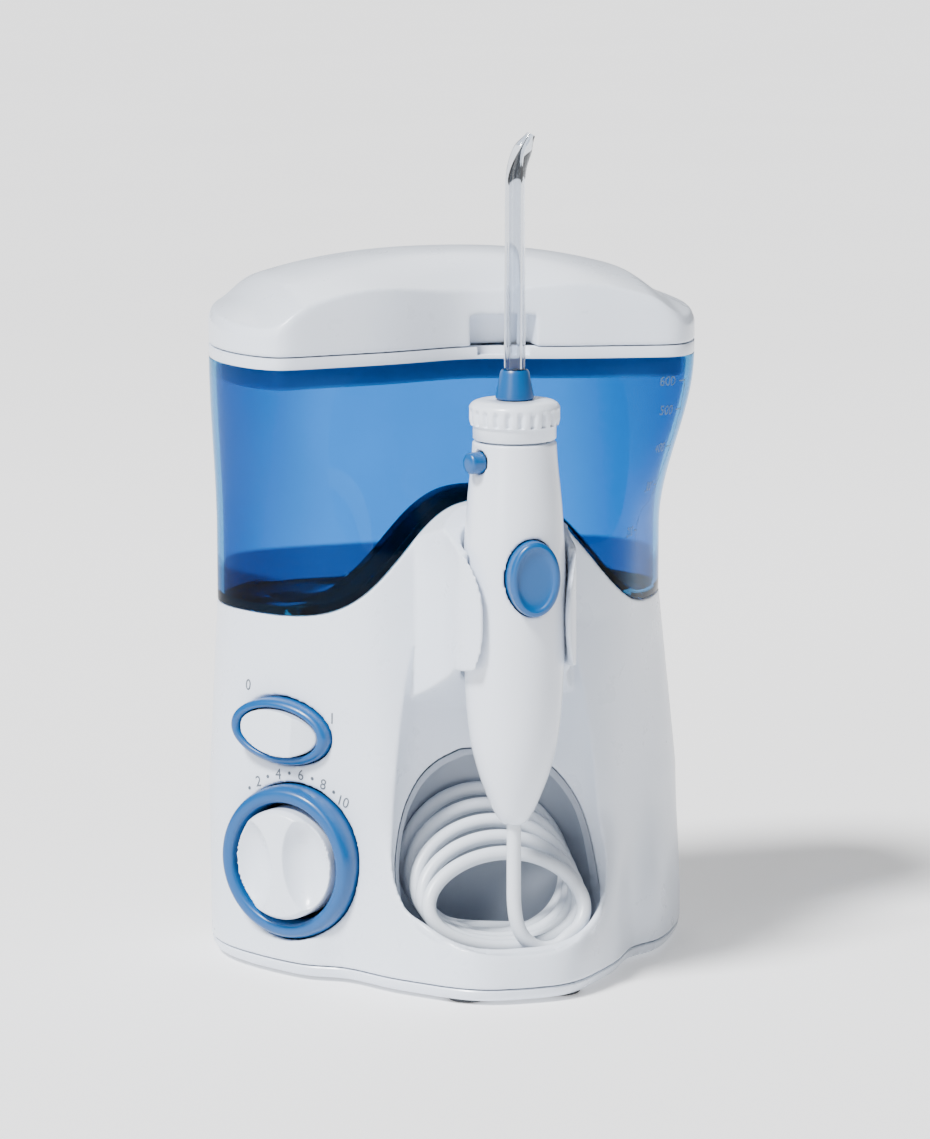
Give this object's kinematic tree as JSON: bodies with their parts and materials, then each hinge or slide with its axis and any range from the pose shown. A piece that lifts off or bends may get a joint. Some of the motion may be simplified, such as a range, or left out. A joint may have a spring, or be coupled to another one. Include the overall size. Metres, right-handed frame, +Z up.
{
  "type": "countertop water flosser",
  "caption": "Countertop water flosser with a tinted tank, hinged lid, pressure dial, rocker switch, coiled hose and a handle with a jet tip.",
  "frame": {"origin": "centre of the bounding box on the floor plane", "axes": "+Z up, the front with the handle faces -Y"},
  "size_m": [0.1468, 0.1278, 0.2497],
  "materials": {
    "white_plastic": "satin moulded plastic",
    "blue_plastic": "glossy moulded plastic",
    "inner_plastic": "matte moulded plastic",
    "steel": "plain steel",
    "dark_rubber": "matte rubber",
    "clear_blue": "translucent tinted plastic",
    "clear_plastic": "clear plastic"
  },
  "bodies": {
    "base": {"base_housing": "white_plastic", "hose_well": "inner_plastic", "base_tray": "white_plastic", "foot_1": "dark_rubber", "foot_2": "dark_rubber", "foot_3": "dark_rubber", "foot_4": "dark_rubber", "foot_5": "dark_rubber", "foot_6": "dark_rubber", "tray_screw_1": "steel", "tray_screw_2": "steel", "tray_screw_3": "steel", "tray_screw_4": "steel", "cord_gland": "dark_rubber", "valve_seat_seal": "dark_rubber", "dial_ring": "blue_plastic", "pressure_regulator": "inner_plastic", "switch_bezel": "blue_plastic", "power_switch": "dark_rubber", "hose_lead": "white_plastic", "hose_coil": "white_plastic", "hose_drop": "white_plastic", "hose_gland": "inner_plastic", "motor_can": "steel", "motor_end_cap": "inner_plastic", "pump_frame": "inner_plastic", "gear_axle": "steel", "pump_cylinder": "inner_plastic", "pump_head": "inner_plastic", "inlet_check_ball": "steel", "outlet_check_ball": "steel", "inlet_tube": "clear_plastic", "outlet_tube": "clear_plastic", "pressure_tube": "clear_plastic"},
    "tank": {"tank": "clear_blue", "tank_valve_body": "white_plastic"},
    "tank_valve": {"tank_valve_plunger": "blue_plastic"},
    "lid": {"lid_tray": "white_plastic", "lid_hinge_pin": "steel"},
    "lid_cover": {"lid_cover": "white_plastic"},
    "handle": {"handle_body": "white_plastic", "hose_nipple": "inner_plastic", "valve_block": "inner_plastic", "supply_tube": "inner_plastic", "tip_latch": "steel"},
    "collar": {"collar": "white_plastic"},
    "tip": {"jet_tip": "clear_plastic", "tip_ring": "blue_plastic"},
    "pause": {"pause_button": "blue_plastic", "pause_valve_stem": "steel"},
    "eject": {"eject_button": "blue_plastic"},
    "dial": {"dial_knob": "white_plastic"},
    "rocker": {"switch_rocker": "white_plastic"},
    "rotor": {"motor_rotor": "steel"},
    "gear": {"drive_gear": "inner_plastic"},
    "piston": {"piston": "inner_plastic", "wrist_pin": "steel", "piston_seal": "dark_rubber", "connecting_rod": "inner_plastic"}
  },
  "joints": [
    {"name": "tank_lift", "type": "slide", "parent": "base", "child": "tank", "axis": [0, 0, 1], "range_m": [0, 0.05]},
    {"name": "tank_valve_lift", "type": "slide", "parent": "tank", "child": "tank_valve", "axis": [0, 0, 1], "range_m": [0, 0.0022]},
    {"name": "lid_lift", "type": "slide", "parent": "tank", "child": "lid", "axis": [0, 0, 1], "range_m": [0, 0.03]},
    {"name": "lid_open", "type": "hinge", "parent": "lid", "child": "lid_cover", "pos_m": [0, 0.0605, 0.188], "axis": [-1, 0, 0], "range_deg": [0, 100]},
    {"name": "handle_lift", "type": "slide", "parent": "base", "child": "handle", "axis": [0, 0, 1], "range_m": [0, 0.085]},
    {"name": "collar_turn", "type": "hinge", "parent": "handle", "child": "collar", "pos_m": [0, -0.0455, 0.167], "axis": [0, 0, 1], "continuous": true},
    {"name": "tip_pull", "type": "slide", "parent": "collar", "child": "tip", "axis": [0, 0, 1], "range_m": [0, 0.03]},
    {"name": "pause_press", "type": "slide", "parent": "handle", "child": "pause", "axis": [0, 1, 0], "range_m": [0, 0.0018], "stiffness_N_per_m": 600},
    {"name": "eject_press", "type": "slide", "parent": "handle", "child": "eject", "axis": [0.9511, 0.309, 0], "range_m": [0, 0.0018], "stiffness_N_per_m": 600},
    {"name": "dial_turn", "type": "hinge", "parent": "base", "child": "dial", "pos_m": [-0.0563, -0.0064, 0.0346], "axis": [-0.7431, -0.6691, 0], "range_deg": [-56, 26]},
    {"name": "switch_rock", "type": "hinge", "parent": "base", "child": "rocker", "pos_m": [-0.0572, -0.0008, 0.0725], "axis": [0.0467, -0.0518, 0.9976], "range_deg": [0, 12]},
    {"name": "motor_spin", "type": "hinge", "parent": "base", "child": "rotor", "pos_m": [0, 0.033, 0.038], "axis": [1, 0, 0], "continuous": true},
    {"name": "gear_spin", "type": "hinge", "parent": "base", "child": "gear", "pos_m": [0, 0.033, 0.058], "axis": [1, 0, 0], "continuous": true},
    {"name": "piston_stroke", "type": "slide", "parent": "base", "child": "piston", "axis": [0, 0, 1], "range_m": [-0.003, 0.003]}
  ],
  "couplings": [
    {"joint": "gear_spin", "follows": "motor_spin", "ratio": -0.25}
  ]
}
